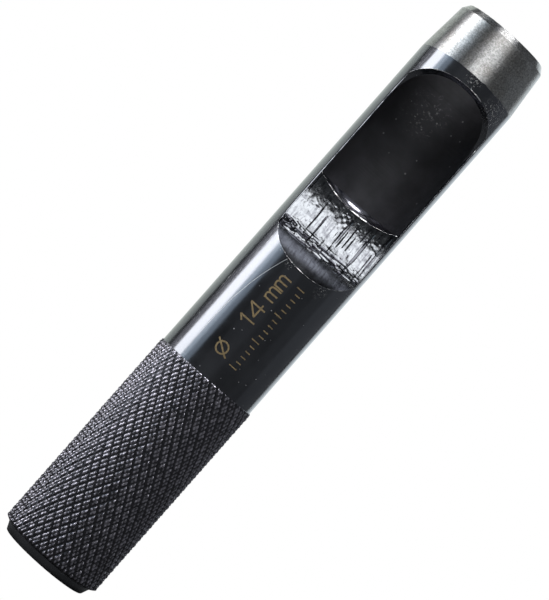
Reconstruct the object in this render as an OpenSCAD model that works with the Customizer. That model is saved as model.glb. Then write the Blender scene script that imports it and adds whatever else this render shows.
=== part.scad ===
// Drive hole punch, 14 mm: a steel bar turned, knurled, bored and slotted into a hollow punch.
// Millimetres. +Z runs along the tool, from the strike face at z = 0 up to the cutting edge.
// The slug window faces -Y. The bar is divided where one machining step ends and the next begins.

/* [Bar] */
// Length from the strike face to the cutting edge
overall_len = 104; // [100:1:120]
// Diameter of the smooth turned body
body_d = 17; // [16.8:0.1:18]
// Diameter of the flat strike face
strike_face_d = 14.7; // [12:0.1:15]
// Height of the chamfered strike end
strike_end_h = 1.4; // [1:0.1:3]

/* [Knurled grip] */
// Height at which the knurling ends
grip_top_z = 36.7; // [28:0.1:38]
// Diameter over the knurl's crests
knurl_crest_d = 17.6; // [17.4:0.1:18.4]
// Diameter at the crossings of the knurl's grooves
knurl_root_d = 16.7; // [16.2:0.1:17]
// Grooves of each hand around the grip
knurl_starts = 38; // [24:2:48]
// Angle of the grooves to the tool's axis
knurl_angle = 30; // [25:1:40]
// Height over which the knurl runs out at each end
knurl_runout = 0.8; // [0.4:0.1:1.2]

/* [Slug window] */
// Distance from the window's upper end to the cutting edge
window_to_edge = 10.1; // [9.8:0.1:12]
// Length of the window along the bar's surface
window_len = 36.4; // [34:0.1:40]
// Width of the window
window_w = 15; // [14:0.1:15]
// Diameter of the slot cutter that mills the window and leaves its ramp
slot_cutter_d = 33.2; // [30:0.2:40]

/* [Bore] */
// Diameter of the hole that the punch cuts
hole_d = 14; // [13:0.1:14.2]
// Length of the land behind the cutting edge
land_len = 4; // [3:0.5:4.5]
// Diameter of the relieved bore behind the land
relief_d = 15.2; // [14.6:0.1:15.4]
// Distance from the cutting edge to the flat at the bore's end
bore_depth = 34.6; // [33:0.1:35]
// Depth of the cone at the bore's end
cone_depth = 1.6; // [0.8:0.1:2]
// Diameter of the flat in the middle of that cone
cone_flat_d = 4; // [3:0.5:6]

/* [Cutting head] */
// Length of the ground, tapered head
head_len = 9; // [8:0.5:9.5]
// Diameter where the edge bevel starts
bevel_d = 15.56; // [15.2:0.02:15.8]
// Length of the edge bevel
bevel_len = 1; // [0.8:0.1:1.5]
// Wall left at the cutting edge
edge_wall = 0.08; // [0.05:0.01:0.15]

/* [Size mark] */
// Height at which the marks start
mark_z = 40.5; // [39:0.1:41]
// Height of the digits
digit_h = 2.6; // [2:0.1:3]
// Width of the marks' lines
line_w = 0.3; // [0.2:0.05:0.4]
// Thickness of the paint in the marks
paint_t = 0.05; // [0.03:0.01:0.1]

/* [Hidden] */
$fn = 96;

body_r = body_d / 2;
gap = 1;                                   // how far a cut runs past the solid it cuts
hair = 0.02;                               // a step too small to matter

// Strike end and grip
strike_rim_r = body_r - 0.55;
grip_foot_r = body_r - 0.4;
knurl_base_z = strike_end_h + knurl_runout;
knurl_top_z = grip_top_z - knurl_runout;
diamond_h = PI * knurl_crest_d / knurl_starts / tan(knurl_angle) / 2;
knurl_rows = round((knurl_top_z - knurl_base_z) / diamond_h) + 1;
row_step = (knurl_top_z - knurl_base_z) / (knurl_rows - 1);

// Window: the cutter's rim passes through the bar's surface at both ends of the window,
// and its lowest point reaches the bar's centre plane
cutter_r = slot_cutter_d / 2;
cutter_overrun = sqrt(cutter_r * cutter_r - pow(cutter_r - body_r, 2));
window_top_z = overall_len - window_to_edge;
window_base_z = window_top_z - window_len;
cutter_low_z = window_base_z + cutter_overrun;
cutter_high_z = window_top_z - cutter_overrun;

// Divisions between the zones
ramp_base_z = window_base_z - 1.5;
barrel_base_z = cutter_low_z - 0.5;
head_base_z = overall_len - head_len;
land_base_z = overall_len - land_len;
bevel_base_z = overall_len - bevel_len;

// Bore
relief_r = relief_d / 2;
land_r = hole_d / 2;
bore_end_z = overall_len - bore_depth;

// Head
bevel_r = bevel_d / 2;
edge_r = land_r + edge_wall;
head_slope = (body_r - bevel_r) / (bevel_base_z - head_base_z);
land_outer_r = body_r - head_slope * (land_base_z - head_base_z);

// Marks: the size line runs up the bar left of the window's centre, and a row of ticks right of it
size_line_turn = -11.3;
tick_line_turn = 9.6;
symbol_d = 2.5;
small_h = 1.7;
tick_count = 16;
tick_step = 1;

// ---- shapes that sub-parts share ----

// The slot cutter at one place along the bar, plunged to the centre plane
module slot_cutter(middle_z) {
    translate([-window_w / 2, -cutter_r, middle_z])
        rotate([0, 90, 0])
            cylinder(r = cutter_r, h = window_w);
}

// What the slot cutter removes as it travels up the bar between its two end places. Its floor
// stays a hair above the cutter's lowest line, so that no flat is tangent to a round
module slot_travel() {
    translate([-window_w / 2, -body_d, cutter_low_z])
        cube([window_w, body_d - hair, cutter_high_z - cutter_low_z]);
}

// The relieved bore, with the shallow cone that its drill leaves at the end
module relief_bore() {
    rotate_extrude()
        polygon([
            [0, bore_end_z],
            [cone_flat_d / 2, bore_end_z],
            [relief_r, bore_end_z + cone_depth],
            [relief_r, overall_len + gap],
            [0, overall_len + gap]
        ]);
}

// A length of the turned bar
module bar(from_z, to_z) {
    translate([0, 0, from_z])
        cylinder(r = body_r, h = to_z - from_z);
}

// ---- knurl ----

// Radius of a point of the knurl: grooves cross where row and step are both even or both odd
function knurl_r(row, step) =
    row < 0 ? grip_foot_r
    : row >= knurl_rows ? body_r
    : (row + step) % 2 == 0 ? knurl_root_d / 2
    : knurl_crest_d / 2;

function knurl_z(row) =
    row < 0 ? strike_end_h
    : row >= knurl_rows ? grip_top_z
    : knurl_base_z + row * row_step;

// ---- marks, drawn flat: x is the way they read and y is up ----

module stroke(from, to) {
    run = to - from;
    translate(from)
        rotate(atan2(run[1], run[0]))
            translate([-line_w / 2, -line_w / 2])
                square([norm(run) + line_w, line_w]);
}

module ring(d) {
    difference() {
        circle(d = d);
        circle(d = d - 2 * line_w);
    }
}

// Diameter sign: a ring with a slash through it
module diameter_sign() {
    reach = symbol_d * 0.62;
    translate([symbol_d / 2, digit_h / 2]) {
        ring(symbol_d * 0.85);
        stroke([-reach * 0.8, -reach], [reach * 0.8, reach]);
    }
}

module digit_one() {
    stroke([0, digit_h * 0.7], [digit_h * 0.28, digit_h]);
    stroke([digit_h * 0.28, 0], [digit_h * 0.28, digit_h]);
}

module digit_four() {
    stroke([digit_h * 0.55, digit_h], [0, digit_h * 0.3]);
    stroke([0, digit_h * 0.3], [digit_h * 0.75, digit_h * 0.3]);
    stroke([digit_h * 0.55, 0], [digit_h * 0.55, digit_h]);
}

module letter_m() {
    leg_step = small_h * 0.5;
    for (leg = [0 : 2])
        stroke([leg * leg_step, 0], [leg * leg_step, small_h]);
    stroke([0, small_h], [2 * leg_step, small_h]);
}

module size_line() {
    diameter_sign();
    translate([6, 0])
        digit_one();
    translate([7.4, 0])
        digit_four();
    translate([10.8, 0])
        letter_m();
    translate([13.1, 0])
        letter_m();
}

module tick_line() {
    for (i = [0 : tick_count - 1])
        stroke([i * tick_step, 0], [i * tick_step, i % 5 == 0 ? 1.4 : 0.9]);
}

// Wraps flat marks around the bar as a skin of paint, reading upwards
module painted(turn, middle) {
    rotate([0, 0, turn])
        intersection() {
            difference() {
                translate([0, 0, mark_z - gap])
                    cylinder(r = body_r + paint_t, h = ramp_base_z - mark_z + gap);
                translate([0, 0, mark_z - 2 * gap])
                    cylinder(r = body_r, h = ramp_base_z - mark_z + 3 * gap);
            }
            translate([middle, 0, mark_z])
                rotate([90, 0, 0])
                    linear_extrude(body_d)
                        rotate(90)
                            children();
        }
}

// ---- sub-parts ----

module strike_end() {
    color("#2b2c2f")
        cylinder(r1 = strike_face_d / 2, r2 = strike_rim_r, h = strike_end_h);
}

module knurled_grip() {
    steps = 2 * knurl_starts;
    points = [
        for (row = [-1 : knurl_rows])
            for (step = [0 : steps - 1])
                let (r = knurl_r(row, step), a = step * 360 / steps)
                    [r * cos(a), r * sin(a), knurl_z(row)]
    ];
    function at(ring, step) = ring * steps + step % steps;
    sides = [
        for (ring = [0 : knurl_rows])
            for (step = [0 : steps - 1])
                let (
                    low = at(ring, step), low_next = at(ring, step + 1),
                    high = at(ring + 1, step), high_next = at(ring + 1, step + 1)
                )
                    each (ring + step) % 2 == 1
                        ? [[low, high, high_next], [low, high_next, low_next]]
                        : [[low, high, low_next], [high, high_next, low_next]]
    ];
    foot = [for (step = [0 : steps - 1]) at(0, step)];
    top = [for (step = [steps - 1 : -1 : 0]) at(knurl_rows + 1, step)];
    color("#3c3a40")
        polyhedron(points = points, faces = concat(sides, [foot, top]));
}

module shank() {
    color("#26272b")
        bar(grip_top_z, ramp_base_z);
}

module slug_ramp() {
    color("#6d6f74")
        difference() {
            bar(ramp_base_z, barrel_base_z);
            slot_cutter(cutter_low_z);
            relief_bore();
        }
}

module slotted_barrel() {
    color("#1f2024")
        difference() {
            bar(barrel_base_z, head_base_z);
            slot_cutter(cutter_low_z);
            slot_cutter(cutter_high_z);
            slot_travel();
            relief_bore();
        }
}

module cutting_head() {
    color("#b9bcc0")
        rotate_extrude()
            polygon([
                [relief_r, head_base_z],
                [body_r, head_base_z],
                [land_outer_r, land_base_z],
                [land_r, land_base_z]
            ]);
}

module cutting_edge() {
    color("#d4d6d9")
        rotate_extrude()
            polygon([
                [land_r, land_base_z],
                [land_outer_r, land_base_z],
                [bevel_r, bevel_base_z],
                [edge_r, overall_len],
                [land_r, overall_len]
            ]);
}

module size_mark() {
    color("#b09a62") {
        painted(size_line_turn, digit_h / 2)
            size_line();
        painted(tick_line_turn, 0.7)
            tick_line();
    }
}

strike_end();
knurled_grip();
shank();
slug_ramp();
slotted_barrel();
cutting_head();
cutting_edge();
size_mark();
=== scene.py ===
"""Looks for a 14 mm drive hole punch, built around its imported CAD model, in metres.

The tool stands on its strike face, +Z runs up to the cutting edge, and the slug window faces -Y.
"""

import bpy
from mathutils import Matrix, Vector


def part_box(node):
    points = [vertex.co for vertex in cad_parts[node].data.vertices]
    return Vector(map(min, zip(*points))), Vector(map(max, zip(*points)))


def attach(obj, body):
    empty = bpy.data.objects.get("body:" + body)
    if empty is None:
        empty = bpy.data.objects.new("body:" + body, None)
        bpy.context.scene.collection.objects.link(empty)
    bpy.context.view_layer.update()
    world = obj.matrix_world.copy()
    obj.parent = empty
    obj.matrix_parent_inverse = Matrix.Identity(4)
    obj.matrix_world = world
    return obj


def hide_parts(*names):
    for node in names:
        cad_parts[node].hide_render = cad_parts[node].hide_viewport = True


bl_info = {
    "name": "Drive Hole Punch",
    "version": (1, 0, 0),
    "blender": (4, 5, 0),
    "location": "3D View > Sidebar > Hole Punch",
    "description": "Builds a knurled hollow punch, its finishes and a plain light stage",
    "category": "Add Mesh",
}

import math

import bmesh
import bpy
import numpy as np
from bpy.props import FloatProperty, FloatVectorProperty, IntProperty, PointerProperty
from mathutils import Matrix, Vector

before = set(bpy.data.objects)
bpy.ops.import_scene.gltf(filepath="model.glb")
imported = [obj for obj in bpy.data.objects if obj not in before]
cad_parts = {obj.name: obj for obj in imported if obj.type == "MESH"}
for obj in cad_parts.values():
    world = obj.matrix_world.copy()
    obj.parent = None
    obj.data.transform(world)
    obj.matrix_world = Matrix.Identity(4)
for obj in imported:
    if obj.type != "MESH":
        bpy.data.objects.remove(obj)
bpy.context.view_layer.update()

MM = 0.001
BODY = "root"
FILED_DEPTH = 0.6  # how far the file cut into the slot's walls, as a share of its cut round the bar


def node_heights(node):
    """Lowest and highest Z of a CAD node."""
    low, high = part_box(node)
    return low.z, high.z


def node_radius(node):
    """Largest radius of a CAD node about the tool's axis."""
    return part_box(node)[1].x


STRIKE_Z, GRIP_Z = node_heights("strike_end")
SHANK_Z = node_heights("shank")[0]
RAMP_Z = node_heights("slug_ramp")[0]
BARREL_Z = node_heights("slotted_barrel")[0]
HEAD_Z = node_heights("cutting_head")[0]
LAND_Z, TIP_Z = node_heights("cutting_edge")


# ---- sizes and colours


def length(name, description, default):
    """A length property with the size it has on this tool."""
    return FloatProperty(name=name, description=description, default=default, unit="LENGTH", precision=5)


def colour(name, description, default):
    """A colour property, linear RGB."""
    return FloatVectorProperty(
        name=name, description=description, default=default, subtype="COLOR", size=3, min=0.0, max=1.0
    )


class PunchSizes(bpy.types.PropertyGroup):
    """Sizes of the punch that the frame's boxes don't give."""

    body_r: length("Body Radius", "Radius of the turned bar", node_radius("shank"))
    crest_r: length("Crest Radius", "Radius over the knurl's crests", node_radius("knurled_grip"))
    face_r: length("Strike Face Radius", "Radius of the flat strike face", 7.35 * MM)
    rim_r: length("Strike Rim Radius", "Radius at the top of the strike chamfer", node_radius("strike_end"))
    foot_r: length("Grip Foot Radius", "Radius where the knurled grip begins", 8.1 * MM)
    groove_depth: length("Groove Depth", "Depth of the knurl's deep grooves", 0.42 * MM)
    knurl_pitch: length("Knurl Pitch", "Height along the axis between grooves of one hand", 2.49 * MM)
    knurl_starts: IntProperty(name="Knurl Starts", description="Deep grooves of each hand", default=38)
    window_half: length("Window Half Width", "Half the width of the slug window", 7.5 * MM)
    cutter_r: length("Slot Cutter Radius", "Radius of the cutter that milled the window", 16.6 * MM)
    window_low: length("Window Foot", "Height where the window starts", RAMP_Z + 1.5 * MM)
    window_high: length("Window Top", "Height where the window ends", 93.9 * MM)
    bore_r: length("Bore Radius", "Radius of the relieved bore", 7.6 * MM)
    bore_z: length("Bore End", "Height of the middle of the bore's dished end", 69.4 * MM)
    dish_depth: length("Dish Depth", "Rise of the dish from its middle to the bore's wall", 1.6 * MM)
    land_r: length("Land Radius", "Radius of the hole that the edge cuts", 7.0 * MM)
    bevel_z: length("Bevel Foot", "Height where the edge bevel starts", TIP_Z - 1.0 * MM)
    bevel_r: length("Bevel Radius", "Radius where the edge bevel starts", 7.78 * MM)
    edge_wall: length("Edge Wall", "Wall left at the cutting edge", 0.08 * MM)
    edge_round: length("Edge Round", "How far the window's sides are broken back by a file", 0.5 * MM)
    burr_r: length("Burr", "Thickness of the burr left along the milled edges", 0.055 * MM)


class PunchColours(bpy.types.PropertyGroup):
    """Colours of the punch's finishes."""

    blued: colour("Blued Steel", "Black oxide on polished steel", (0.15, 0.155, 0.17))
    bright: colour("Bright Steel", "Ground or worn steel", (0.55, 0.555, 0.56))
    ground: colour("Ground Steel", "Ground steel of the head", (0.37, 0.372, 0.372))
    milled: colour("Milled Steel", "Lightly oxidised steel of the milled ramp", (0.1, 0.105, 0.112))
    bore: colour("Bore", "Unlit oxide inside the bore", (0.048, 0.048, 0.053))
    marking: colour("Marking", "Gold-coloured size mark", (0.27, 0.2, 0.1))


# ---- mesh helpers


class Patch:
    """A grid of points, shape (rows, columns, 3), with a material index and point attributes."""

    def __init__(self, points, finish=0, closed=False, **attributes):
        self.points = np.asarray(points, float)
        self.finish = finish
        self.closed = closed
        self.attributes = attributes

    def quads(self):
        """Quads between neighbouring grid points, and from the last column to the first if closed."""
        rows, columns = self.points.shape[:2]
        j = np.arange(columns if self.closed else columns - 1)
        row_start = np.arange(rows - 1)[:, None] * columns
        here, beside = row_start + j, row_start + (j + 1) % columns
        return np.stack([here, here + columns, beside + columns, beside], -1).reshape(-1, 4)

    def values(self, key):
        """A point attribute for every point, or 0 where the patch has none of that name."""
        return np.broadcast_to(self.attributes.get(key, 0.0), self.points.shape[:2]).ravel()


def welded_mesh(name, patches, sharp_degrees):
    """One closed mesh: patches share their edge points, open ends get a flat face, faces look out."""
    points = np.concatenate([patch.points.reshape(-1, 3) for patch in patches])
    starts = np.cumsum([0] + [patch.points.size // 3 for patch in patches[:-1]])
    faces = [patch.quads() + start for patch, start in zip(patches, starts, strict=True)]
    quads = np.concatenate(faces)
    finishes = np.repeat([patch.finish for patch in patches], [len(group) for group in faces])
    mesh = bpy.data.meshes.new(name)
    mesh.vertices.add(len(points))
    mesh.vertices.foreach_set("co", points.astype(np.float32).ravel())
    mesh.loops.add(quads.size)
    mesh.loops.foreach_set("vertex_index", quads.astype(np.int32).ravel())
    mesh.polygons.add(len(quads))
    mesh.polygons.foreach_set("loop_start", np.arange(0, quads.size, 4, dtype=np.int32))
    mesh.polygons.foreach_set("material_index", finishes.astype(np.int32))
    mesh.polygons.foreach_set("use_smooth", np.ones(len(quads), bool))
    for key in sorted({key for patch in patches for key in patch.attributes}):
        layer = mesh.attributes.new(key, "FLOAT", "POINT")
        values = np.concatenate([patch.values(key) for patch in patches])
        layer.data.foreach_set("value", values.astype(np.float32))
    mesh.update(calc_edges=True)
    shape = bmesh.new()
    shape.from_mesh(mesh)
    bmesh.ops.remove_doubles(shape, verts=shape.verts, dist=1e-7)
    bmesh.ops.dissolve_degenerate(shape, edges=shape.edges, dist=1e-8)
    ends = [edge for edge in shape.edges if edge.is_boundary]
    bmesh.ops.holes_fill(shape, edges=ends, sides=0)
    bmesh.ops.recalc_face_normals(shape, faces=shape.faces)
    shape.to_mesh(mesh)
    shape.free()
    mesh.set_sharp_from_angle(angle=math.radians(sharp_degrees))
    return mesh


def add_object(name, data):
    """Puts a new object in the scene, at the origin."""
    thing = bpy.data.objects.new(name, data)
    bpy.context.scene.collection.objects.link(thing)
    return thing


def add_piece(mesh, finishes, node):
    """Puts a finished mesh in the scene in place of its CAD node, with its finishes."""
    piece = add_object(mesh.name, mesh)
    for finish in finishes:
        mesh.materials.append(finish)
    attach(piece, BODY)
    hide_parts(node)


def grid(x, y, z):
    """Points whose x, y and z are each spread over the same grid."""
    return np.stack(np.broadcast_arrays(x, y, z), -1)


def around(radius, angle, z):
    """Points at a radius, an angle from the window's middle (towards +X) and a height."""
    return grid(radius * np.sin(angle), -radius * np.cos(angle), z)


def turned(profile, steps, **patch_options):
    """A surface of revolution: a profile of (radius, z) points carried round the axis."""
    radius, z = np.asarray(profile, float).T
    angle = np.linspace(0.0, 2.0 * np.pi, steps, endpoint=False)
    return Patch(around(radius[:, None], angle, z[:, None]), closed=True, **patch_options)


def round_corner(before, corner, after, radius, steps):
    """Points of a quadratic curve that rounds a profile's corner within a radius of it."""
    before, corner, after = (np.asarray(p, float) for p in (before, corner, after))
    start = corner + (before - corner) / np.linalg.norm(before - corner) * radius
    end = corner + (after - corner) / np.linalg.norm(after - corner) * radius
    t = column(steps)
    return (1 - t) ** 2 * start + 2 * t * (1 - t) * corner + t**2 * end


def held(value):
    """A value held between 0 and 1."""
    return np.clip(value, 0.0, 1.0)


def column(count):
    """Even steps from 0 to 1, one to a row."""
    return np.linspace(0.0, 1.0, count)[:, None]


def hashed(i, j, seed):
    """Repeatable random numbers from 0 to 1 for whole-number grid places."""
    mixed = np.sin(i * 127.1 + j * 311.7 + seed * 74.7) * 43758.5453
    return mixed - np.floor(mixed)


def value_noise(u, v, seed):
    """Smooth noise from -1 to 1: random values at whole-number places, eased between them."""
    i, j = np.floor(u), np.floor(v)
    a, b = u - i, v - j
    a, b = a * a * (3 - 2 * a), b * b * (3 - 2 * b)
    low = hashed(i, j, seed) * (1 - a) + hashed(i + 1, j, seed) * a
    high = hashed(i, j + 1, seed) * (1 - a) + hashed(i + 1, j + 1, seed) * a
    return (low * (1 - b) + high * b) * 2 - 1


# ---- material helpers


class Finish:
    """A node material built from short calls, with one Principled surface."""

    def __init__(self, name):
        self.material = bpy.data.materials.new(name)
        self.material.use_nodes = True
        self.nodes = self.material.node_tree.nodes
        self.links = self.material.node_tree.links
        self.surface = self.nodes["Principled BSDF"]
        self.place = self.nodes.new("ShaderNodeTexCoord").outputs["Object"]

    def put(self, socket, value):
        """Links a socket to another, or sets its constant."""
        if isinstance(value, bpy.types.NodeSocket):
            self.links.new(value, socket)
        elif value is not None:
            socket.default_value = value

    def fill(self, node, inputs):
        """Sets or links a node's sockets, named with underscores."""
        for key, value in inputs.items():
            self.put(node.inputs[key.replace("_", " ")], value)

    def add(self, kind, **inputs):
        """A new node with its sockets set or linked."""
        node = self.nodes.new("ShaderNode" + kind)
        self.fill(node, inputs)
        return node

    def set(self, **inputs):
        """Sets or links the surface's sockets, and returns the material."""
        self.fill(self.surface, inputs)
        return self.material

    def stretched(self, per_mm):
        """Object coordinates scaled along each axis, or along all alike: features per millimetre."""
        scale = tuple(np.broadcast_to(per_mm, 3) / MM)
        return self.add("Mapping", Vector=self.place, Scale=scale).outputs["Vector"]

    def noise(self, per_mm, detail=3.0, roughness=0.55):
        """Fractal noise from 0 to 1."""
        place = self.stretched(per_mm)
        node = self.add("TexNoise", Vector=place, Scale=1.0, Detail=detail, Roughness=roughness)
        return node.outputs["Fac"]

    def cells(self, per_mm):
        """Outputs for the nearest of scattered points: its Distance and its random Color."""
        return self.add("TexVoronoi", Vector=self.stretched(per_mm), Scale=1.0).outputs

    def parts(self, vector):
        """The three parts of a vector or a colour."""
        return self.add("SeparateXYZ", Vector=vector).outputs

    def away_from(self, *place):
        """Distance from a place, in millimetres."""
        node = self.add("VectorMath")
        node.operation = "DISTANCE"
        self.put(node.inputs[0], self.stretched(1.0))
        self.put(node.inputs[1], place)
        return node.outputs["Value"]

    def attribute(self, name):
        """A point attribute of the mesh."""
        node = self.add("Attribute")
        node.attribute_name = name
        return node.outputs["Fac"]

    def maths(self, operation, result, *others):
        """A Math node, or a chain of them where there are more than two values."""
        for other in others or (None,):
            node = self.add("Math")
            node.operation = operation
            self.put(node.inputs[0], result)
            self.put(node.inputs[1], other)
            result = node.outputs[0]
        return result

    def fit(self, value, low, high, to_low=0.0, to_high=1.0):
        """Maps low..high of a value to to_low..to_high, held inside them."""
        node = self.add("MapRange", Value=value, From_Min=low, From_Max=high, To_Min=to_low, To_Max=to_high)
        return node.outputs[0]

    def blend(self, amount, a, b):
        """Mixes two colours."""
        node = self.add("Mix")
        node.data_type = "RGBA"
        self.put(node.inputs["Factor"], amount)
        for key, hue in (("A", a), ("B", b)):
            self.put(node.inputs[key], hue if isinstance(hue, bpy.types.NodeSocket) else (*hue, 1.0))
        return node.outputs["Result"]

    def bump(self, height, depth, normal=None):
        """A bump of a height from 0 to 1, as deep as depth metres."""
        return self.add("Bump", Height=height, Distance=depth, Normal=normal).outputs["Normal"]


def specks(finish, per_mm, size, share):
    """Sparse round specks: 1 on a speck and 0 elsewhere."""
    cells = finish.cells(per_mm)
    near = finish.fit(cells["Distance"], size, size * 0.6)
    chosen = finish.maths("LESS_THAN", finish.parts(cells["Color"])[0], share)
    return finish.maths("MULTIPLY", near, chosen)


def long_scratch(finish):
    """One long hairline that starts beside the window's foot and bends down the shank's left side.

    Its angle about the axis is a fixed turn plus a power of the height above its lower end.
    """
    x, y, z = finish.parts(finish.stretched(1.0))
    angle = finish.maths("ARCTAN2", x, finish.maths("MULTIPLY", y, -1.0))
    climb = finish.maths("MAXIMUM", finish.maths("SUBTRACT", z, 42.0), 0.0)
    bend = finish.maths("MULTIPLY", finish.maths("POWER", climb, 2.2), math.radians(0.046))
    away = finish.maths("SUBTRACT", angle, finish.maths("SUBTRACT", bend, math.radians(40.4)))
    line = finish.fit(finish.maths("ABSOLUTE", away), 0.007, 0.002)
    ends = finish.fit(z, 40.0, 46.0)
    below = finish.maths("LESS_THAN", z, 57.6)
    return finish.maths("MULTIPLY", line, ends, below)


def near_place(finish, x, y, z, reach):
    """1 at a place in millimetres, falling to 0 at a distance."""
    return finish.fit(finish.away_from(x, y, z), reach, reach * 0.3)


def blued_polish(colours, name="blued_polish", roughness=0.13):
    """Glossy black oxide on polished steel: smudges, turning lines, dust, scuffs and a scratch."""
    finish = Finish(name)
    smudge = finish.noise((0.22, 0.22, 0.16), 4.0)
    grain = finish.noise((0.5, 0.5, 9.0))
    hair = finish.noise((7.0, 7.0, 0.05), 2.0)
    off_middle = finish.maths("ABSOLUTE", finish.maths("SUBTRACT", hair, 0.5))
    hairline = finish.fit(off_middle, 0.004, 0.0)
    patchy = finish.fit(finish.noise((0.1, 0.1, 0.03), 1.0), 0.52, 0.62)
    scratch = finish.maths("MAXIMUM", finish.maths("MULTIPLY", hairline, patchy), long_scratch(finish))
    spots = ((5.6, -6.4, 93.7, 3.2), (0.2, -8.5, 95.6, 2.0), (3.9, -7.55, 57.0, 1.3), (-2.3, -8.2, 57.1, 0.9))
    scuffed = finish.maths("MAXIMUM", *(near_place(finish, *spot) for spot in spots))
    torn = finish.fit(finish.noise(3.6, 4.0, 0.85), 0.57, 0.63)
    chips = finish.maths("MULTIPLY", scuffed, torn)
    base = finish.blend(finish.fit(smudge, 0.3, 0.75), colours.blued * 0.85, colours.blued)
    dust = finish.maths("MAXIMUM", specks(finish, 0.8, 0.08, 0.3), specks(finish, 1.7, 0.1, 0.12))
    base = finish.blend(finish.fit(scratch, 0.0, 1.0, 0.0, 0.7), base, colours.bright)
    base = finish.blend(dust, base, (0.4, 0.4, 0.42))
    base = finish.blend(chips, base, (0.62, 0.62, 0.6))
    worn = finish.fit(finish.attribute("wear"), 0.4, 0.8)
    base = finish.blend(finish.fit(worn, 0.0, 1.0, 0.0, 0.5), base, colours.bright)
    rough = finish.fit(smudge, 0.35, 0.8, roughness, roughness + 0.09)
    rough = finish.maths("ADD", rough, finish.maths("MULTIPLY", finish.maths("MAXIMUM", dust, scratch), 0.45))
    rough = finish.maths("ADD", rough, finish.maths("MULTIPLY", chips, 0.3))
    loose = finish.maths("MAXIMUM", dust, chips)
    finish.set(Base_Color=base, Metallic=finish.maths("SUBTRACT", 1.0, loose), Roughness=rough)
    scratched = finish.bump(scratch, -0.004 * MM)
    mixed = finish.add("Mix")
    mixed.data_type = "VECTOR"
    finish.put(mixed.inputs[0], chips)
    finish.put(mixed.inputs[4], finish.bump(grain, 0.0012 * MM, scratched))
    finish.put(mixed.inputs[5], finish.bump(torn, 0.03 * MM, scratched))
    return finish.set(Normal=mixed.outputs[1])


def blued_knurl():
    """Black oxide on knurling: grooves darkened by painted shade, and crests rubbed a little lighter."""
    finish = Finish("blued_knurl")
    relief = finish.attribute("relief")
    mottle = finish.noise(1.3, 4.0)
    # painted shade: the colour darkens the knurl's grooves; the crests are lighter where rubbed
    groove_shade_and_crest_rub = finish.fit(finish.maths("ADD", relief, finish.fit(mottle, 0.3, 0.7, -0.2, 0.2)), 0.55, 1.05)
    base = finish.blend(groove_shade_and_crest_rub, (0.062, 0.062, 0.07), (0.52, 0.5, 0.575))
    finish.set(Base_Color=base, Metallic=1.0, Roughness=finish.fit(mottle, 0.3, 0.7, 0.26, 0.4))
    return finish.set(Normal=finish.bump(finish.noise(9.0), 0.01 * MM))


def torn_milling(colours):
    """Coarse milled steel: bright streaks along the cut, torn dark pits and oxide left in the lows."""
    finish = Finish("torn_milling")
    streak = finish.noise((3.2, 0.5, 0.35), 5.0, 0.65)
    tear = finish.noise((1.6, 1.2, 0.9), 5.0, 0.7)
    relief = finish.attribute("relief")
    stain = finish.noise((0.5, 0.5, 0.9))
    steel = [finish.fit(streak, 0.34, 0.5, 0.25), finish.fit(tear, 0.34, 0.42, 0.3)]
    # relief darkens the lows with oxide, and its raised values along the ramp's top edge give a painted
    # highlight there
    steel += [finish.fit(stain, 0.36, 0.52, 0.45), finish.fit(relief, -1.1, -0.5, 0.15)]
    clean = finish.maths("MULTIPLY", *steel)
    base = finish.blend(clean, (0.03, 0.031, 0.036), colours.milled)
    finish.set(Base_Color=base, Metallic=1.0, Roughness=finish.fit(tear, 0.3, 0.7, 0.15, 0.24))
    return finish.set(Normal=finish.bump(streak, 0.006 * MM, finish.bump(tear, 0.007 * MM)))


def bored_oxide(colours):
    """The bore's wall: dull dark oxide with the boring tool's rings."""
    finish = Finish("bored_oxide")
    ring = finish.noise((0.04, 0.04, 3.2))
    blotch = finish.noise(0.35, 4.0)
    lit = finish.blend(finish.fit(blotch, 0.35, 0.7), colours.bore, colours.bore * 1.4)
    torn = finish.fit(finish.noise((1.5, 1.5, 2.6), 4.0, 0.75), 0.57, 0.66)
    flecks = finish.maths("MULTIPLY", torn, near_place(finish, -0.9, 7.5, 88.0, 4.5))
    crumbs = finish.maths("MAXIMUM", specks(finish, 0.75, 0.13, 0.2), flecks)
    finish.set(Base_Color=finish.blend(crumbs, lit, (0.3, 0.3, 0.31)), Metallic=0.4)
    return finish.set(Roughness=finish.fit(blotch, 0.3, 0.7, 0.36, 0.46), Normal=finish.bump(ring, 0.02 * MM))


def bored_dish():
    """The smooth dished end of the bore, with fine turned rings."""
    finish = Finish("bored_dish")
    ring = finish.noise((0.3, 0.3, 9.0))
    blotch = finish.noise(0.6)
    base = finish.blend(finish.fit(blotch, 0.3, 0.7), (0.2, 0.2, 0.24), (0.4, 0.4, 0.46))
    return finish.set(Base_Color=base, Metallic=1.0, Roughness=0.2, Normal=finish.bump(ring, 0.004 * MM))


def bare_burr(colours):
    """Bare steel of the thin burrs, dulled in places."""
    finish = Finish("bare_burr")
    dull = finish.noise(1.2)
    base = finish.blend(finish.fit(dull, 0.42, 0.6), colours.bright * 1.5, (0.1, 0.1, 0.11))
    return finish.set(Base_Color=base, Metallic=1.0, Roughness=0.32)


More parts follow.
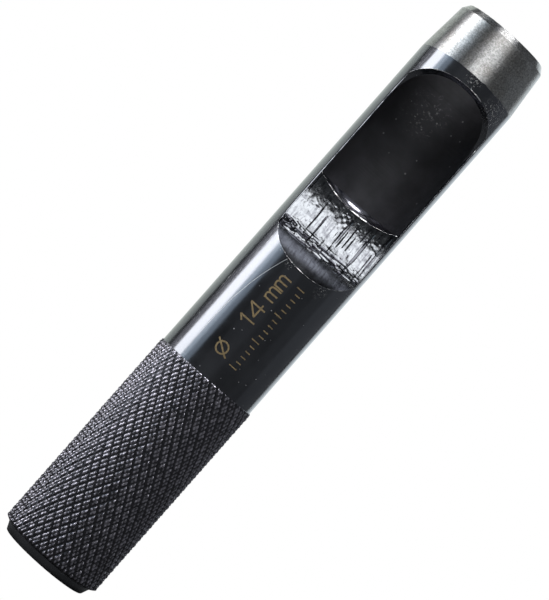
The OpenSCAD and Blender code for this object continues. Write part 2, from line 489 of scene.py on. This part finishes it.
def ground_steel(colours, name="ground_steel", roughness=0.34, grain_depth=0.016):
    """Bright ground steel: grain that spreads the light along the head, stains and fine pits."""
    finish = Finish(name)
    grain = finish.noise((1.3, 1.3, 3.4), 5.0, 0.7)
    pits = finish.noise((3.4, 3.4, 4.4), 3.0, 0.7)
    stain = finish.noise((0.45, 0.45, 0.4), 4.0)
    tint = tuple(c * k for c, k in zip(colours.ground, (0.7, 0.66, 0.62), strict=True))
    base = finish.blend(finish.fit(stain, 0.4, 0.75), colours.ground, tint)
    base = finish.blend(finish.fit(pits, 0.52, 0.34, 0.0, 0.8), base, colours.ground * 0.45)
    base = finish.blend(finish.fit(pits, 0.52, 0.66, 0.0, 0.5), base, colours.ground * 1.7)
    around_axis = finish.add("Tangent")
    around_axis.direction_type = "RADIAL"
    around_axis.axis = "Z"
    finish.set(Base_Color=base, Metallic=1.0, Anisotropic=0.85, Anisotropic_Rotation=0.25)
    finish.set(Tangent=around_axis.outputs[0])
    finish.set(Roughness=finish.fit(grain, 0.3, 0.7, roughness, roughness + 0.1))
    return finish.set(Normal=finish.bump(grain, grain_depth * MM, finish.bump(pits, grain_depth * MM)))


def gold_marking(colours):
    """Dull gold paint with a broken, grainy edge."""
    finish = Finish("gold_marking")
    thin = finish.noise(3.5)
    base = finish.blend(finish.fit(thin, 0.35, 0.65), colours.marking * 0.55, colours.marking)
    return finish.set(Base_Color=base, Metallic=0.2, Roughness=0.5)


# ---- shapes of the tool


def window_curves(sizes):
    """Heights of the slot cutter's two end places, from the window's ends on the bar's surface."""
    run = math.sqrt(sizes.cutter_r**2 - (sizes.cutter_r - sizes.body_r) ** 2)
    return sizes.window_low + run, sizes.window_high - run


def cut_rise(sizes, y):
    """How far along the bar from its end place the cutter's rim is, where it reaches depth y."""
    return np.sqrt(np.maximum(sizes.cutter_r**2 - (sizes.cutter_r + y) ** 2, 0.0))


def surface_y(radius, x):
    """Front half of a circle: the y of a point at x."""
    return -np.sqrt(np.maximum(radius**2 - x**2, 0.0))


def head_foot(angle):
    """Height where the grinding of the head begins, higher at the front as the grind ran off centre."""
    ragged = value_noise(np.cos(angle) * 9.0 + 40.0, np.sin(angle) * 9.0 + 40.0, 21)
    return HEAD_Z - 0.15 * MM + 0.95 * MM * np.cos(angle) + 0.09 * MM * ragged


def strike_end_mesh(sizes):
    """A turned button: flat face, rounded rim, chamfer, and a hidden flat top."""
    face_rim, top_rim = (sizes.face_r, STRIKE_Z), (sizes.rim_r, GRIP_Z)
    centre = (0.0, STRIKE_Z)
    rim = round_corner(centre, face_rim, top_rim, 0.14 * MM, 7)
    shoulder = round_corner(face_rim, top_rim, (0.0, GRIP_Z), 0.12 * MM, 4)
    face = [(r, STRIKE_Z) for r in np.linspace(0.0, rim[0][0], 6)[:-1]]
    profile = np.array([*face, *rim, *shoulder, (0.0, GRIP_Z)])
    bump = 1.0 - held(np.abs(np.arange(len(profile)) - len(face) - 3) / 3.0)
    return welded_mesh("strike_end_turned", [turned(profile, 160, wear=bump[:, None] * 0.5)], 40)


def knurl_relief(sizes, angle, z):
    """Relief of the knurl, 1 on its pads and 0 in its deepest grooves.

    Each hand of helix has deep V grooves, one per start, and a shallow groove midway between them.
    A point is as low as the deepest groove that crosses it. The right-hand set fades up the grip.
    """
    turns = angle * sizes.knurl_starts / (2.0 * np.pi)
    climb = z / sizes.knurl_pitch
    up = (z - GRIP_Z) / (SHANK_Z - GRIP_Z)

    def groove(phase, half_width, depth):
        away = np.abs(phase - np.round(phase))
        return depth * held(1.0 - away / half_width)

    left, right = turns + climb, turns - climb
    right_depth = np.interp(up, [0.0, 0.35, 0.75, 1.0], [0.95, 0.9, 0.62, 0.6])
    cuts = [
        groove(left, 0.25, 1.0),
        groove(left + 0.5, 0.2, 0.5),
        groove(right, 0.25, 1.0) * right_depth,
        groove(right + 0.5, 0.2, 0.55),
    ]
    return 1.0 - np.maximum.reduce(cuts)


def knurled_grip_mesh(sizes):
    """The grip: a cylinder whose radius follows the knurl's relief, chamfered at both ends.

    The grid's steps divide the groove spacing evenly, so groove lines run through its points.
    """
    per_groove = 12
    columns = sizes.knurl_starts * per_groove
    step = sizes.knurl_pitch / per_groove
    rows = int(math.ceil((SHANK_Z - GRIP_Z) / step))
    z = np.append(GRIP_Z + np.arange(rows) * step, SHANK_Z)[:, None]
    angle = np.arange(columns)[None, :] * 2.0 * np.pi / columns
    relief = knurl_relief(sizes, angle, z)
    worn = value_noise(angle * 60.0, z / MM * 1.1, 3) * 0.5 + value_noise(angle * 15.0, z / MM * 0.3, 8) * 0.5
    radius = sizes.crest_r - sizes.groove_depth * (1.0 - relief) - 0.03 * MM * (worn + 1.0)
    radius = np.minimum(radius, sizes.foot_r + (z - GRIP_Z) * 1.8)
    radius = np.minimum(radius, sizes.body_r + 0.02 * MM + (SHANK_Z - z) * 1.2)
    grip = Patch(around(radius, angle, z), closed=True, relief=relief)
    return welded_mesh("knurled_grip_diamonds", [grip], 180)


def mirrored(points):
    """The points, and the same points on the tool's other side."""
    return [points, points * np.array([-1.0, 1.0, 1.0])]


def ring_angles(radius, x, back_steps):
    """Angles at a radius: across the window at each x, all the way round, and behind the window.

    The steps behind the window are even from 0.1 mm past its sides.
    """
    front = np.arcsin(x / radius)
    side = np.linspace(front[0] + 0.1 * MM / radius, np.pi, back_steps - 1)
    side = np.append(front[0], side)
    back = np.concatenate([side, 2.0 * np.pi - side[-2::-1]])
    return front, np.concatenate([front[::-1], back[1:-1]]), back


def ring_heights(front_z, ring):
    """Heights round a ring: the window's outline across the front, and its end's height behind."""
    return np.concatenate([front_z[::-1], np.full(len(ring) - len(front_z), front_z[0])])


def shank_mesh(sizes):
    """The plain shank: a straight turned cylinder between flat hidden ends."""
    profile = [(0.0, SHANK_Z)]
    profile += [(sizes.body_r, z) for z in np.linspace(SHANK_Z, RAMP_Z, 24)]
    profile.append((0.0, RAMP_Z))
    return welded_mesh("shank_polished", [turned(profile, 192)], 40)


def window_columns(sizes, count):
    """x of the columns across the window: closer together towards its sides."""
    edge = math.asin(sizes.window_half / sizes.bore_r)
    return sizes.bore_r * np.sin(np.linspace(edge, -edge, count))


def burr(run, radius, seed, finish):
    """A thin uneven bead of metal along an edge: rings of six points around each point of the run."""
    run = np.asarray(run, float)
    ahead = np.gradient(run, axis=0)
    ahead /= np.linalg.norm(ahead, axis=1)[:, None]
    side = np.cross(ahead, [0.0, 0.0, 1.0]) + 0.05 * np.array([0.0, 1.0, 0.0])
    side /= np.linalg.norm(side, axis=1)[:, None]
    over = np.cross(side, ahead)
    along = np.concatenate([[0.0], np.cumsum(np.linalg.norm(np.diff(run, axis=0), axis=1))]) / MM
    lumps = 1.3 * value_noise(along * 1.1, 0.0, seed) + 0.5 * value_noise(along * 3.7, 0.0, seed + 1)
    thickness = radius * np.clip(0.3 + lumps, 0.1, 1.9)
    turn = np.linspace(0.0, 2.0 * np.pi, 6, endpoint=False)[:, None]
    outward = np.cos(turn) * side[:, None] + np.sin(turn) * over[:, None]
    rings = run[:, None] + thickness[:, None, None] * outward
    return Patch(rings, finish, closed=True)


def filed_back(sizes, from_end):
    """How far a side of the window is filed back: fully, from 3 mm past the window's end."""
    return sizes.edge_round * held(from_end / (3.0 * MM))


def filed_sides(sizes, corner_y, corner_angle, z, broken):
    """The window's two filed edges: curves from the slot's walls over to the bar's surface."""
    z, broken = z[:, None], broken[:, None]
    wall = grid(sizes.window_half, corner_y + FILED_DEPTH * broken, z)
    corner = grid(sizes.window_half, corner_y, z)
    bar = around(sizes.body_r, corner_angle + broken / sizes.body_r, z)
    t = column(6)
    return mirrored((1 - t) ** 2 * wall + 2 * t * (1 - t) * corner + t**2 * bar)


def behind_window(sizes, corner_angle, back_angle, broken, z):
    """The bar's surface behind the window, from one filed edge round to the other."""
    shrink = 1.0 - broken[:, None] / sizes.body_r / (np.pi - corner_angle)
    return around(sizes.body_r, np.pi + (back_angle - np.pi) * shrink, z[:, None])


def slug_ramp_mesh(sizes):
    """The closed end of the bore with its milled ramp.

    The ramp is the arc of the slot cutter, roughened by streaks along the cut and by torn spots.
    Its top edge is where the arc meets the dish at the bore's end: height = bore end + dish(radius).
    Behind that edge the bore's end runs level to the back and turns up into the wall with a round corner.
    """
    body_r, bore_r, half = sizes.body_r, sizes.bore_r, sizes.window_half
    low_place = window_curves(sizes)[0]
    dish_r = (bore_r**2 + sizes.dish_depth**2) / (2.0 * sizes.dish_depth)
    x = window_columns(sizes, 220)
    front_angle, ring_angle, back_angle = ring_angles(body_r, x, 55)
    y_out = surface_y(body_r, x)
    z_out = low_place - cut_rise(sizes, y_out)

    def dish_z(radius):
        return sizes.bore_z + dish_r - np.sqrt(dish_r**2 - radius**2)

    def arc_y(z):
        return -sizes.cutter_r + np.sqrt(np.maximum(sizes.cutter_r**2 - (low_place - z) ** 2, 0.0))

    dish_top = dish_z(bore_r)
    z_edge = dish_z(np.abs(x))
    y_edge = arc_y(z_edge)

    # ramp, row by row from the outline up to the dish
    t = column(150)
    z = z_out + (z_edge - z_out) * t
    y = arc_y(z)

    def rough(across, along, seed):
        return value_noise(x / MM * across, z / MM * along, seed)

    streak = 0.5 * rough(0.9, 0.12, 1) + 0.22 * rough(3.0, 0.35, 2)
    crack = np.clip(rough(4.3, 0.2, 15) - 0.48, 0.0, 0.3)
    torn = rough(1.7, 1.9, 5) * rough(0.5, 0.6, 6)
    crumbs = rough(2.6, 2.8, 19) * rough(3.1, 3.3, 23)
    strokes = rough(0.7, 3.6, 31) + 0.5 * rough(1.9, 5.0, 33)
    up = (z - RAMP_Z) / MM
    stroke_zone = held((up - 4.6) / 0.5) * held((6.9 - up) / 0.5)
    leaning_left = np.clip(1.1 - x / MM * 0.12, 0.4, 1.5)
    middle = held((up - 12.0) / 0.7) * np.exp(-((x / MM / 1.6) ** 2))
    calm = np.clip((up - 4.4) / 1.4, 0.12, 1.0)
    relief = (streak - 4.0 * crack + 0.7 * torn + (0.4 + 3.0 * middle) * crumbs) * calm
    relief = relief + 1.9 * strokes * stroke_zone * leaning_left
    side_distance = (half - np.abs(x)) / MM * 3.0
    fade = held(np.minimum(np.minimum(t * 14.0, (1.0 - t) * 9.0), side_distance))
    toward_cutter_y = -(sizes.cutter_r + y) / sizes.cutter_r
    toward_cutter_z = (low_place - z) / sizes.cutter_r
    push = relief * fade * 0.05 * MM
    ramp_points = grid(x, y + push * toward_cutter_y, z + push * toward_cutter_z)

    # side walls share the ramp's outer columns, then climb past the dish to the zone's end
    bore_side_y = surface_y(bore_r, half)
    wall_z = np.concatenate([z[:, 0], np.linspace(dish_top, BARREL_Z, 4)])
    wall_in_y = np.concatenate([y[:, 0], np.full(4, float(bore_side_y))])
    broken = filed_back(sizes, wall_z - wall_z[0])
    wall_out_y = np.minimum(y_out[0] + FILED_DEPTH * broken, wall_in_y)
    s = np.linspace(0.0, 1.0, 6)
    wall_y = wall_out_y[:, None] + (wall_in_y - wall_out_y)[:, None] * s
    walls = mirrored(grid(half, wall_y, wall_z[:, None]))

    # bar's surface: below the outline all the way round, then behind the window
    u = np.array([0.0, 0.3, 0.6, 0.8, 0.93, 1.0])[:, None]
    band_rise = (ring_heights(z_out, ring_angle) - RAMP_Z) * u
    band = around(body_r, ring_angle, RAMP_Z + band_rise)
    behind = behind_window(sizes, front_angle[0], back_angle, broken, wall_z)
    filed = filed_sides(sizes, y_out[0], front_angle[0], wall_z, broken)

    # dish behind the ramp's edge, its thin horns beside the window, and the foot of the bore's wall
    y_back = -surface_y(bore_r, x)
    v = np.sin(np.linspace(0.0, np.pi / 2.0, 48))[:, None]
    dish_y = y_edge + (y_back - y_edge) * v
    into_corner = sizes.dish_depth - np.clip(bore_r - np.hypot(x, dish_y), 0.0, sizes.dish_depth)
    corner = sizes.dish_depth - np.sqrt(sizes.dish_depth**2 - into_corner**2)
    floor_z = z_edge + corner * held(dish_y / (3.0 * MM))
    floor_z[-1] = dish_top
    dish_points = grid(x, dish_y, np.minimum(floor_z, dish_top))
    dish_points[0] = ramp_points[-1]
    horn_y = np.concatenate([[float(bore_side_y)], dish_y[:, 0]])
    chord_r = np.minimum(np.hypot(half, horn_y), bore_r)
    chord = grid(half, horn_y, dish_z(chord_r))
    arc = grid(-surface_y(bore_r, horn_y), horn_y, dish_top)
    horns = mirrored(np.stack([chord, arc]))
    rim = np.concatenate([horns[0][1], dish_points[-1, 1:-1], horns[1][1][::-1]])
    foot_z = np.linspace(dish_top, BARREL_Z, 4)[:, None]

    # painted highlight: along the ramp's top edge the colour is raised to the lighter milled steel
    lip_painted_highlight = held(1.0 - (1.0 - t) * 40.0)
    edge_wear = held(1.0 - (1.0 - u) * 12.0) * (np.abs(ring_angle) < 1.2)
    patches = [
        Patch(ramp_points, 1, relief=relief + lip_painted_highlight * 2.0 - 0.75 * stroke_zone),
        *[Patch(wall, wear=(s == 0.0) * 1.0) for wall in walls],
        Patch(band, closed=True, wear=edge_wear),
        Patch(behind),
        *[Patch(side) for side in filed],
        burr(around(body_r, front_angle, z_out), sizes.burr_r * 0.8, 41, 3),
        burr(grid(x, y_edge, z_edge), sizes.burr_r * 1.3, 47, 3),
        *[Patch(points, 4) for points in (dish_points, *horns)],
        Patch(grid(rim[:, 0], rim[:, 1], foot_z), 2),
    ]
    return welded_mesh("slug_ramp_milled", patches, 30)


def slotted_barrel_mesh(sizes):
    """The bored tube round the window.

    The window's wall runs from its outline on the bar to its outline in the bore: flat up the
    sides, and along the cutter's arc over the top. The bore's radius ripples with the boring rings.
    """
    high_place = window_curves(sizes)[1]
    x = window_columns(sizes, 96)
    s = np.linspace(0.0, 1.0, 7)
    y_out, y_in = surface_y(sizes.body_r, x), surface_y(sizes.bore_r, x)
    wall_y = y_out + (y_in - y_out) * s[:, None]
    arc_wall = grid(x, wall_y, high_place + cut_rise(sizes, wall_y))
    arc_z = arc_wall[..., 2]
    side_z = BARREL_Z + (arc_z[:, 0] - BARREL_Z) * column(60)
    side_line = side_z[:, 0]
    broken = filed_back(sizes, side_line[-1] - side_line)
    wall_start = y_out[0] + FILED_DEPTH * broken[:, None]
    side_walls = mirrored(grid(sizes.window_half, wall_start + (y_in[0] - wall_start) * s, side_z))

    def zone(radius, ring, low, high, rows, ripple=0.0):
        u = column(rows)
        z = low + (high - low) * u
        wave = ripple * value_noise(0.0, z / MM * 3.1, 71) * np.minimum(1.0, 8 * u * (1 - u))
        return around(radius + wave, ring, z)

    _, out_ring, out_back = ring_angles(sizes.body_r, x, 48)
    _, in_ring, in_back = ring_angles(sizes.bore_r, x, 48)
    out_low, in_low = ring_heights(arc_z[0], out_ring), ring_heights(arc_z[-1], in_ring)
    out_band = zone(sizes.body_r, out_ring, out_low, head_foot(out_ring), 24)
    in_band = zone(sizes.bore_r, in_ring, in_low, HEAD_Z, 70, 0.012 * MM)
    filed = filed_sides(sizes, y_out[0], out_back[0], side_line, broken)
    worn_corner = (s == 0.0) * 1.0
    patches = [
        Patch(arc_wall, wear=worn_corner[:, None]),
        *[Patch(wall, wear=worn_corner) for wall in side_walls],
        Patch(out_band, closed=True),
        Patch(behind_window(sizes, out_back[0], out_back, broken, side_line)),
        Patch(in_band, 1, closed=True),
        Patch(around(sizes.bore_r, in_back, side_z[:, -1:]), 1),
        Patch(np.stack([out_band[-1], in_band[-1]]), closed=True),
        *[Patch(side) for side in filed],
        burr(arc_wall[0], sizes.burr_r, 53, 2),
        burr(filed[1][:, 3], sizes.burr_r * 0.7, 59, 2),
        burr(filed[0][:, 2], sizes.burr_r * 0.4, 61, 2),
    ]
    return welded_mesh("slotted_barrel_bored", patches, 30)


def head_radius(sizes, angle, z):
    """Outer radius of the ground head: a straight taper from its foot line to the bevel."""
    foot = head_foot(angle)
    share = (z - foot) / (sizes.bevel_z - foot)
    return sizes.body_r + (sizes.bevel_r - sizes.body_r) * share


def cutting_head_mesh(sizes):
    """The tapered ring: ground outside from its foot line, with a conical relief inside."""
    angle = np.linspace(0.0, 2.0 * np.pi, 240, endpoint=False)
    u = column(30)
    foot = head_foot(angle)
    z = foot + (LAND_Z - foot) * u
    flats = 0.012 * MM * value_noise(angle * 9.0, z / MM * 0.35, 4) * np.minimum(1.0, 10 * u * (1 - u))
    outside = around(head_radius(sizes, angle, z) + flats, angle, z)
    inner_z = HEAD_Z + (LAND_Z - HEAD_Z) * u[::-1]
    inside = around(sizes.land_r + (sizes.bore_r - sizes.land_r) * u, angle, inner_z)
    rest = np.concatenate([outside[-1:], inside, outside[:1]])
    patches = [Patch(outside, closed=True), Patch(rest, 1, closed=True)]
    return welded_mesh("cutting_head_ground", patches, 30)


def cutting_edge_mesh(sizes):
    """The last ring: the taper's end, the sharpened bevel, a hair-wide edge and the land inside."""
    angle = np.linspace(0.0, 2.0 * np.pi, 240, endpoint=False)
    edge_r = sizes.land_r + sizes.edge_wall
    z_taper = np.linspace(LAND_Z, sizes.bevel_z, 8)[:, None]
    taper = around(head_radius(sizes, angle, z_taper), angle, z_taper)
    t = column(9)
    nick = held(value_noise(angle * 14.0, 3.0, 12) - 0.55) * 0.06 * MM
    bevel_r = sizes.bevel_r + (edge_r - sizes.bevel_r) * t
    bevel = around(bevel_r, angle, sizes.bevel_z + (TIP_Z - nick - sizes.bevel_z) * t)
    lip = around(sizes.land_r, angle, TIP_Z - nick)[None]
    land = around(sizes.land_r, angle, np.linspace(TIP_Z - 0.1 * MM, LAND_Z, 14)[:, None])
    inside = np.concatenate([bevel[-1:], lip, land, taper[:1]])
    patches = [Patch(points, finish, closed=True) for finish, points in enumerate((taper, bevel, inside))]
    return welded_mesh("cutting_edge_bevel", patches, 25)


# ---- marking


def arc_points(centre, radius, start_degrees, end_degrees, steps=14):
    """Points of an arc, flat."""
    a = np.radians(np.linspace(start_degrees, end_degrees, steps))
    return np.stack([centre[0] + radius * np.cos(a), centre[1] + radius * np.sin(a)], -1)


def letter_m(start, height):
    """An m of two arches, as strokes from the left leg."""
    arch = height * 0.27
    strokes = [[(start, 0.0), (start, height)]]
    for leg in (0, 1):
        left = start + 2 * arch * leg
        bend = arc_points((left + arch, height - arch), arch, 180.0, 0.0)
        strokes.append([*bend, (left + 2 * arch, 0.0)])
    return strokes


def mark_strokes(digit):
    """Flat strokes, in millimetres: a diameter sign, the size 14 and its unit."""
    sign = [arc_points((1.15, digit / 2), 0.95, 0.0, 360.0, 28), [(0.2, -0.1), (2.1, digit + 0.1)]]
    one = [[(6.05, digit * 0.72), (6.75, digit), (6.75, 0.0)]]
    four = [[(9.1, 0.0), (9.1, digit), (7.5, digit * 0.3), (9.7, digit * 0.3)]]
    return [*sign, *one, *four, *letter_m(10.9, digit * 0.66), *letter_m(13.1, digit * 0.66)]


def tick_strokes(count):
    """Flat strokes of a row of ticks 1 mm apart, each fifth one longer."""
    return [[(i, 0.0), (i, 1.4 if i % 5 == 0 else 0.9)] for i in range(count)]


def ribbon(stroke, width, turn, middle, start_z, radius):
    """A stroke as a thin closed bar wrapped on the shank: it reads up the tool, its top to the left.

    The stroke is resampled evenly and given a width across its direction; flat x becomes height,
    and flat y becomes an angle about the axis.
    """
    stroke = np.asarray(stroke, float)
    run = np.concatenate([[0.0], np.cumsum(np.linalg.norm(np.diff(stroke, axis=0), axis=1))])
    along = np.linspace(0.0, run[-1], max(4, int(run[-1] / 0.12)))
    flat = np.stack([np.interp(along, run, stroke[:, k]) for k in (0, 1)], -1)
    ahead = np.gradient(flat, axis=0)
    ahead /= np.linalg.norm(ahead, axis=1)[:, None]
    across = np.stack([-ahead[:, 1], ahead[:, 0]], -1) * width / 2
    sides = np.stack([flat - across, flat + across, flat + across, flat - across], 1)
    height = np.array([1.0, 1.0, -0.3, -0.3]) * 0.012 * MM
    angle = turn - (sides[..., 1] - middle) * MM / radius
    return Patch(around(radius + height, angle, start_z + sides[..., 0] * MM), closed=True)


def size_mark_mesh(sizes):
    """The size line left of the window's middle, and a row of ticks to its right."""
    start_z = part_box("size_mark")[0].z + 0.15 * MM
    digit = 2.6
    lines = ((mark_strokes(digit), 0.26, -11.3, digit / 2), (tick_strokes(16), 0.19, 9.6, 0.7))
    ribbons = [
        ribbon(stroke, width, math.radians(turn), middle, start_z, sizes.body_r)
        for strokes, width, turn, middle in lines
        for stroke in strokes
    ]
    return welded_mesh("size_mark_gold", ribbons, 40)


# ---- stage


def white_to_camera(tree, glow, other, output):
    """Gives an output plain white for the camera, by a glow shader, and another shader for the rest."""
    path = tree.nodes.new("ShaderNodeLightPath")
    white = tree.nodes.new(glow)
    white.inputs["Strength"].default_value = 1.0
    white.inputs["Color"].default_value = (1.0, 1.0, 1.0, 1.0)
    mix = tree.nodes.new("ShaderNodeMixShader")
    for k, source in enumerate((path.outputs["Is Camera Ray"], other.outputs[0], white.outputs[0])):
        tree.links.new(source, mix.inputs[k])
    tree.links.new(mix.outputs[0], output.inputs["Surface"])


def white_world():
    """White surroundings for the camera, and a dim grey room for the metal to reflect."""
    world = bpy.data.worlds.new("studio")
    world.use_nodes = True
    tree = world.node_tree
    room = tree.nodes["Background"]
    room.inputs["Color"].default_value = (0.9, 0.95, 1.0, 1.0)
    room.inputs["Strength"].default_value = 0.13
    white_to_camera(tree, "ShaderNodeBackground", room, tree.nodes["World Output"])
    bpy.context.scene.world = world


def pale_floor():
    """A wide floor: plain white to the camera, and to the metal dim by the tool with painted shade and paler
    away.
    """
    half = 3.0
    mesh = bpy.data.meshes.new("floor")
    corners = [(x * half, y * half, 0.0) for x, y in ((-1, -1), (1, -1), (1, 1), (-1, 1))]
    mesh.from_pydata(corners, [], [(0, 1, 2, 3)])
    finish = Finish("pale_floor")
    # painted shade: the floor's colour is darker near the tool, as the metal sees it in reflections
    shade = finish.fit(finish.away_from(0.0, 0.0, 0.0), 20.0, 120.0)
    finish.set(Base_Color=finish.blend(shade, (0.08, 0.08, 0.08), (0.19, 0.19, 0.19)), Roughness=0.8)
    output = finish.nodes["Material Output"]
    white_to_camera(finish.material.node_tree, "ShaderNodeEmission", finish.surface, output)
    mesh.materials.append(finish.material)
    add_object("floor", mesh)


# name, azimuth (0 is the window's side, positive is towards +X) and elevation in degrees,
# distance, width and height in metres, strength, tint
LAMPS = (
    ("side_strip", -88, 0, 0.5, 0.21, 0.9, 7.0, (1.0, 1.0, 1.0)),
    ("side_spill", -71, 0, 0.5, 0.09, 0.9, 2.6, (0.78, 0.9, 1.0)),
    ("side_fade", -60, 0, 0.5, 0.11, 0.9, 1.1, (0.7, 0.85, 1.0)),
    ("side_rear", -108, 0, 0.5, 0.13, 0.9, 0.6, (0.95, 0.93, 1.0)),
    ("end_box", -1, 54, 0.5, 0.25, 0.28, 9.6, (1.0, 1.0, 1.0)),
    ("overhead", 180, 80, 0.5, 0.2, 0.14, 2.6, (0.86, 0.88, 1.0)),
    ("front_left", -13, 0, 0.5, 0.32, 0.9, 0.05, (0.9, 0.94, 1.0)),
    ("right_fill", 104, 0, 0.5, 0.44, 0.9, 0.07, (0.88, 0.93, 1.0)),
    ("right_wide", 92, 0, 0.52, 0.8, 0.9, 0.035, (0.88, 0.93, 1.0)),
    ("back_right", 158, 0, 0.6, 0.5, 0.9, 1.1, (0.88, 0.96, 1.0)),
    ("back_left", -154, 0, 0.6, 0.58, 0.9, 0.85, (0.92, 1.0, 0.94)),
)


def softbox(name, azimuth, elevation, distance, width, height, strength, tint):
    """An area lamp aimed at the tool's middle."""
    a, e = math.radians(azimuth), math.radians(elevation)
    away = Vector((math.sin(a) * math.cos(e), -math.cos(a) * math.cos(e), math.sin(e)))
    lamp = bpy.data.lights.new(name, "AREA")
    lamp.shape = "RECTANGLE"
    lamp.size, lamp.size_y = width, height
    lamp.energy = strength * width * height * math.pi
    lamp.color = tint
    holder = add_object(name, lamp)
    holder.location = Vector((0.0, 0.0, (STRIKE_Z + TIP_Z) / 2)) + away * distance
    holder.rotation_mode = "QUATERNION"
    holder.rotation_quaternion = (-away).to_track_quat("-Z", "Y")
    holder.visible_camera = False


def add_camera():
    """A long lens square to the tool's axis, just left of the window, rolled to lay the tool aslant."""
    turn, roll, distance = math.radians(-4.0), math.radians(48.6), 0.435
    ahead = Vector((-math.sin(turn), math.cos(turn), 0.0))
    tool = Vector((0.0, 0.0, 1.0))
    side = ahead.cross(tool)
    right = math.sin(roll) * side + math.cos(roll) * tool
    up = -math.cos(roll) * side + math.sin(roll) * tool
    target = tool * 51.85 * MM + side * 0.08 * MM
    camera = add_object("camera", bpy.data.cameras.new("camera"))
    camera.data.lens = 175.2
    camera.data.sensor_width = 36.0
    camera.data.clip_start, camera.data.clip_end = 0.01, 20.0
    axes = Matrix((right, up, -ahead)).transposed().to_4x4()
    camera.matrix_world = Matrix.Translation(target - ahead * distance) @ axes
    bpy.context.scene.camera = camera


# ---- operators


class PieceOperator:
    """What the piece operators share."""

    bl_options = {"REGISTER", "UNDO"}

    @property
    def sizes(self):
        return bpy.context.scene.punch_sizes

    @property
    def colours(self):
        return bpy.context.scene.punch_colours


class PUNCH_OT_strike_end(PieceOperator, bpy.types.Operator):
    """Build the chamfered strike end"""

    bl_idname = "punch.strike_end"
    bl_label = "Strike End"

    def execute(self, context):
        finish = blued_polish(self.colours, "blued_turned", 0.2)
        add_piece(strike_end_mesh(self.sizes), [finish], "strike_end")
        return {"FINISHED"}


class PUNCH_OT_knurled_grip(PieceOperator, bpy.types.Operator):
    """Build the diamond-knurled grip"""

    bl_idname = "punch.knurled_grip"
    bl_label = "Knurled Grip"

    def execute(self, context):
        add_piece(knurled_grip_mesh(self.sizes), [blued_knurl()], "knurled_grip")
        return {"FINISHED"}


class PUNCH_OT_shank(PieceOperator, bpy.types.Operator):
    """Build the plain polished shank"""

    bl_idname = "punch.shank"
    bl_label = "Shank"

    def execute(self, context):
        add_piece(shank_mesh(self.sizes), [blued_polish(self.colours)], "shank")
        return {"FINISHED"}


class PUNCH_OT_slug_ramp(PieceOperator, bpy.types.Operator):
    """Build the milled ramp and the closed end of the bore"""

    bl_idname = "punch.slug_ramp"
    bl_label = "Slug Ramp"

    def execute(self, context):
        finishes = [
            bpy.data.materials["blued_polish"],
            torn_milling(self.colours),
            bored_oxide(self.colours),
            bare_burr(self.colours),
            bored_dish(),
        ]
        add_piece(slug_ramp_mesh(self.sizes), finishes, "slug_ramp")
        return {"FINISHED"}


class PUNCH_OT_slotted_barrel(PieceOperator, bpy.types.Operator):
    """Build the bored tube with the slug window"""

    bl_idname = "punch.slotted_barrel"
    bl_label = "Slotted Barrel"

    def execute(self, context):
        finishes = [bpy.data.materials[name] for name in ("blued_polish", "bored_oxide", "bare_burr")]
        add_piece(slotted_barrel_mesh(self.sizes), finishes, "slotted_barrel")
        return {"FINISHED"}


class PUNCH_OT_cutting_head(PieceOperator, bpy.types.Operator):
    """Build the ground head and the ring that carries the cutting edge"""

    bl_idname = "punch.cutting_head"
    bl_label = "Cutting Head and Edge"

    def execute(self, context):
        ground = ground_steel(self.colours)
        honed = ground_steel(self.colours, "honed_steel", 0.22, 0.003)
        bore = bpy.data.materials["bored_oxide"]
        add_piece(cutting_head_mesh(self.sizes), [ground, bore], "cutting_head")
        add_piece(cutting_edge_mesh(self.sizes), [ground, honed, bore], "cutting_edge")
        return {"FINISHED"}


class PUNCH_OT_size_mark(PieceOperator, bpy.types.Operator):
    """Build the gold size mark on the shank"""

    bl_idname = "punch.size_mark"
    bl_label = "Size Mark"

    def execute(self, context):
        add_piece(size_mark_mesh(self.sizes), [gold_marking(self.colours)], "size_mark")
        return {"FINISHED"}


class PUNCH_OT_stage(bpy.types.Operator):
    """Build the floor, the surroundings, the lamps and the camera"""

    bl_idname = "punch.stage"
    bl_label = "Stage"

    def execute(self, context):
        context.scene.view_settings.view_transform = "Standard"
        white_world()
        pale_floor()
        add_camera()
        for lamp in LAMPS:
            softbox(*lamp)
        return {"FINISHED"}


class PUNCH_PT_panel(bpy.types.Panel):
    """Lists the punch's sizes, colours and pieces"""

    bl_label = "Hole Punch"
    bl_idname = "PUNCH_PT_panel"
    bl_space_type = "VIEW_3D"
    bl_region_type = "UI"
    bl_category = "Hole Punch"

    def draw(self, context):
        layout = self.layout
        for operator in OPERATORS:
            layout.operator(operator.bl_idname)
        for group in (context.scene.punch_sizes, context.scene.punch_colours):
            box = layout.box()
            for key in group.bl_rna.properties.keys():
                if key not in {"rna_type", "name"}:
                    box.prop(group, key)


OPERATORS = (
    PUNCH_OT_strike_end,
    PUNCH_OT_knurled_grip,
    PUNCH_OT_shank,
    PUNCH_OT_slug_ramp,
    PUNCH_OT_slotted_barrel,
    PUNCH_OT_cutting_head,
    PUNCH_OT_size_mark,
    PUNCH_OT_stage,
)
CLASSES = (PunchSizes, PunchColours, *OPERATORS, PUNCH_PT_panel)


def register():
    for cls in CLASSES:
        bpy.utils.register_class(cls)
    bpy.types.Scene.punch_sizes = PointerProperty(type=PunchSizes)
    bpy.types.Scene.punch_colours = PointerProperty(type=PunchColours)


def unregister():
    del bpy.types.Scene.punch_colours
    del bpy.types.Scene.punch_sizes
    for cls in reversed(CLASSES):
        bpy.utils.unregister_class(cls)


def main():
    register()
    for operator in OPERATORS:
        group, name = operator.bl_idname.split(".")
        getattr(getattr(bpy.ops, group), name)()


if __name__ == "__main__":
    main()
